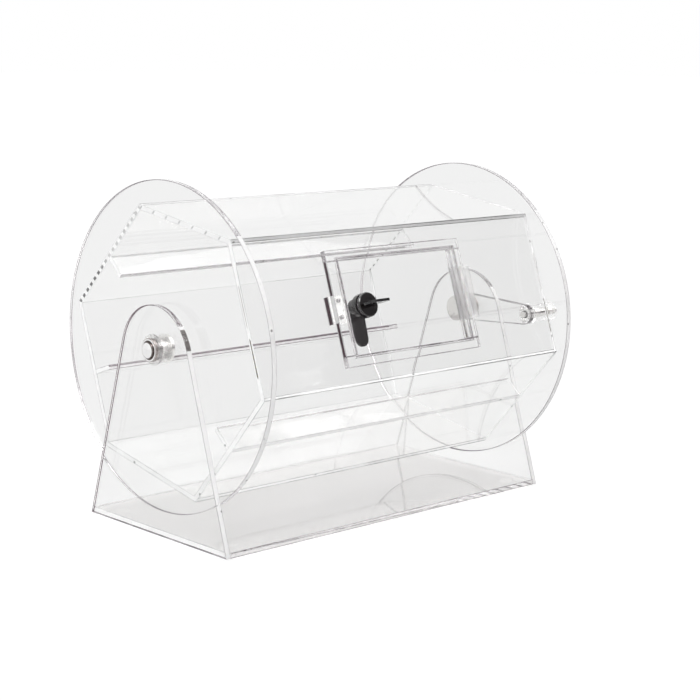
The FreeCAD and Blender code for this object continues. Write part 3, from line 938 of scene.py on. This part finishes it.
def sharp_chains(name, keep, inset):
    """Runs of corner points along a node's sharp edges, drawn just inside its surface."""
    build = bmesh.new()
    build.from_mesh(nodes[name].data)
    bmesh.ops.remove_doubles(build, verts=build.verts, dist=WELD)
    build.normal_update()
    turn = math.radians(ARRIS_TURN)
    folds = [edge for edge in build.edges if edge.is_manifold and edge.calc_face_angle() > turn]
    sharp = {edge for edge in folds if keep(edge)}
    inside = {vertex: vertex.co - vertex.normal * inset for edge in sharp for vertex in edge.verts}

    def next_edges(vertex):
        return [edge for edge in vertex.link_edges if edge in sharp]

    chains = []
    left = set(sharp)
    while left:
        first = min(left, key=lambda edge: edge.index)
        left.discard(first)
        chain = list(first.verts)
        for front in (False, True):
            while True:
                tip = chain[0] if front else chain[-1]
                ways = [edge for edge in next_edges(tip) if edge in left]
                if len(next_edges(tip)) != 2 or not ways:
                    break
                left.discard(ways[0])
                chain.insert(0 if front else len(chain), ways[0].other_vert(tip))
        closed = len(chain) > 2 and chain[0] == chain[-1]
        chains.append(([inside[vertex].copy() for vertex in (chain[:-1] if closed else chain)], closed))
    build.free()
    return chains


def add_arrises():
    """Painted lines along the sharp edges, apart from those where a bar's end is cemented to a disc: edge
    shade and reflection on the clear parts, glints on the black lock.
    """
    ends = extent("door_side", X_AXIS)

    def at_end(edge):
        return any(all(abs(vertex.co.x - end) < END_SLACK for vertex in edge.verts) for end in ends)

    def along_whole(edge):
        return abs(edge.verts[0].co.x - edge.verts[1].co.x) > (ends[1] - ends[0]) - END_SLACK

    def keep_all(_):
        return True

    def keep_side(edge):
        return not at_end(edge) and not along_whole(edge)

    def keep_fin(edge):
        return not at_end(edge)

    def keep_rear(edge):
        return all(vertex.co.y > 0 for vertex in edge.verts)

    def keep_front(edge):
        return not keep_rear(edge)

    bold = arris_material("arris", 0.35, 0.95)
    faint = arris_material("faint_arris", 0.12, 0.6)
    wear_and_glint = arris_material("painted_glint_line", 0.25, 0.9, GLINT_LINE)
    even = arris_material("smooth_arris", 0.45, 0.85, DISC_LINE, LONG_GRAIN)
    purple = arris_material("purple_arris", 0.8, 1.0, PURPLE_LINE, LONG_GRAIN)
    pale_fins = ["rear_upper_fin", "front_lower_fin"]
    add_lines("stand_arrises", "stand", bold, ["right_upright", "base_plate"], keep_all)
    add_lines("left_front_arrises", "stand", bold, ["left_upright"], keep_front)
    add_lines("left_rear_arrises", "stand", purple, ["left_upright"], keep_rear, BOLD_RADIUS)
    add_lines("disc_arrises", "drum", even, DISCS, keep_all)
    add_lines("side_arrises", "drum", faint, ["door_side"], keep_side)
    add_lines("fin_arrises", "drum", faint, pale_fins, keep_fin, FIN_RADIUS)
    add_lines("rear_fin_arrises", "drum", purple, ["rear_lower_fin"], keep_fin)
    add_lines("frame_arrises", "drum", faint, STOP_FRAME + ["lock_keeper", "crank_arm"], keep_all)
    add_lines("door_arrises", "door", faint, ["door_leaf"], keep_all)
    # Painted glints: light grey lines along the black lock's sharp edges
    black = (keep_all, GLINT_RADIUS, "black_metal")
    add_lines("lock_edge_glints", "door", wear_and_glint, ["lock_barrel", "lock_nut"], *black)
    add_lines("cam_edge_glints", "lock_core", wear_and_glint, ["lock_cam"], *black)


def add_lines(title, body, material, names, keep, radius=ARRIS_RADIUS, slot="clear_acrylic"):
    """One curve of thin lines along the sharp edges of the named nodes."""
    curve = bpy.data.curves.new(title, "CURVE")
    curve.dimensions = "3D"
    curve.bevel_depth = radius
    curve.bevel_resolution = 0
    for name in names:
        for points, closed in sharp_chains(name, keep, radius * ARRIS_INSET):
            spline = curve.splines.new("POLY")
            spline.points.add(len(points) - 1)
            for target, point in zip(spline.points, points):
                target.co = (*point, 1)
            spline.use_cyclic_u = closed
    curve.materials.append(material)
    add_piece(title, curve, body)


def beneath(tree, along, part):
    """The reach of the painted shadow: 1 under the base plate, fading out just inside its edges, along X
    (part 0) or Y (part 1).
    """
    low, high = (corner[part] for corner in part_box("base_plate"))
    off = off_middle(tree, along, low, high)
    half = (high - low) / 2
    return smooth(tree, off, half - 12 * MM, half + 8 * MM, 1.0, 0.0)


def add_floor():
    """A wide plain floor, which straight views and mirrors each see at their own level, with a painted
    shadow under the base plate for the rays that come through the clear parts.
    """
    mesh = bpy.data.meshes.new("floor")
    size = FLOOR_SIZE
    corners = [(-size, -size, 0), (size, -size, 0), (size, size, 0), (-size, size, 0)]
    mesh.from_pydata(corners, [], [(0, 1, 2, 3)])
    floor = bpy.data.objects.new("floor", mesh)
    scene.collection.objects.link(floor)
    material, tree, shader = new_material("floor")
    shader.inputs["Base Color"].default_value = (FLOOR_ALBEDO, FLOOR_ALBEDO, FLOOR_ALBEDO, 1)
    shader.inputs["Roughness"].default_value = 1
    shader.inputs["Specular IOR Level"].default_value = 0
    path = tree.nodes.new("ShaderNodeLightPath")
    x, y, _ = axes_of(tree, place_of(tree))
    front = smooth(tree, maths(tree, "MULTIPLY", y, -1), 0.25, 0.6)
    mirrored = blend(tree, front, grey(FLOOR_MIRRORED), ROOM)
    reflected = maths(tree, "GREATER_THAN", path.outputs["Glossy Depth"], 0.5)
    straight = blend(tree, path.outputs["Is Camera Ray"], grey(BACKDROP - FLOOR_LIT), grey(FLOOR_SEEN))
    # Painted shadow under the base plate, left out of camera rays
    under = maths(tree, "MULTIPLY", beneath(tree, x, 0), beneath(tree, y, 1))
    painted_shadow = maths(tree, "MULTIPLY", under, maths(tree, "SUBTRACT", 1, path.outputs["Is Camera Ray"]))
    straight = blend(tree, painted_shadow, straight, scaled(tree, straight, FLOOR_PAINTED_SHADOW))
    shown = blend(tree, reflected, straight, mirrored)
    tree.links.new(shown, shader.inputs["Emission Color"])
    glow = maths(tree, "SUBTRACT", 1, path.outputs["Is Diffuse Ray"])
    tree.links.new(glow, shader.inputs["Emission Strength"])
    mesh.materials.append(material)


def studio(tree, direction):
    """What mirrors show: a bright wall behind, a dimmer room in front, a window left, a light above."""
    _, y, z = axes_of(tree, direction)
    front = smooth(tree, maths(tree, "MULTIPLY", y, -1), 0.05, 0.3)
    base = blend(tree, front, grey(BACK_WALL), ROOM)
    aside = smooth(tree, measured(tree, direction, DARK_PLACE), 0.93, 0.97)
    base = blend(tree, aside, base, DARK)
    left = smooth(tree, measured(tree, direction, WINDOW_PLACE), 0.55, 0.75)
    base = blend(tree, left, base, WINDOW)
    above = smooth(tree, z, 0.77, 0.82)
    return blend(tree, above, base, grey(CEILING))


def add_world():
    world = bpy.data.worlds.new("studio")
    scene.world = world
    world.use_nodes = True
    tree = world.node_tree
    tree.nodes.clear()
    output = tree.nodes.new("ShaderNodeOutputWorld")
    place = tree.nodes.new("ShaderNodeTexCoord")
    path = tree.nodes.new("ShaderNodeLightPath")
    mirrored = studio(tree, place.outputs["Generated"])
    straight = blend(tree, path.outputs["Is Camera Ray"], grey(BACKDROP), grey(1.0))
    reflected = maths(tree, "GREATER_THAN", path.outputs["Glossy Depth"], 0.5)
    seen = blend(tree, reflected, straight, mirrored)
    shown = blend(tree, path.outputs["Is Diffuse Ray"], seen, grey(DIFFUSE_SKY))
    sky = tree.nodes.new("ShaderNodeBackground")
    tree.links.new(shown, sky.inputs["Color"])
    tree.links.new(sky.outputs[0], output.inputs["Surface"])


def add_sun(name, towards, angle, strength):
    """A soft sun that shines towards a direction; a wide angle gives soft shadows."""
    data = bpy.data.lights.new(name, "SUN")
    data.angle = math.radians(angle)
    data.energy = strength
    lamp = bpy.data.objects.new(name, data)
    lamp.rotation_euler = Vector(towards).to_track_quat("-Z", "Y").to_euler()
    scene.collection.objects.link(lamp)


add_camera()
dress()
dress_front_edges()
dress_metal()
add_joints()
add_hub_linings()
add_arrises()
add_floor()
add_world()
add_sun("key", (0.6, 0.35, -1.0), 24, 1.2)
add_sun("fill", (-0.8, 0.6, -0.9), 40, 0.5)
scene.view_settings.view_transform = "Standard"
scene.cycles.max_bounces = LIGHT_BOUNCES
scene.cycles.transmission_bounces = LIGHT_BOUNCES
scene.cycles.transparent_max_bounces = LIGHT_BOUNCES
scene.cycles.glossy_bounces = LIGHT_BOUNCES
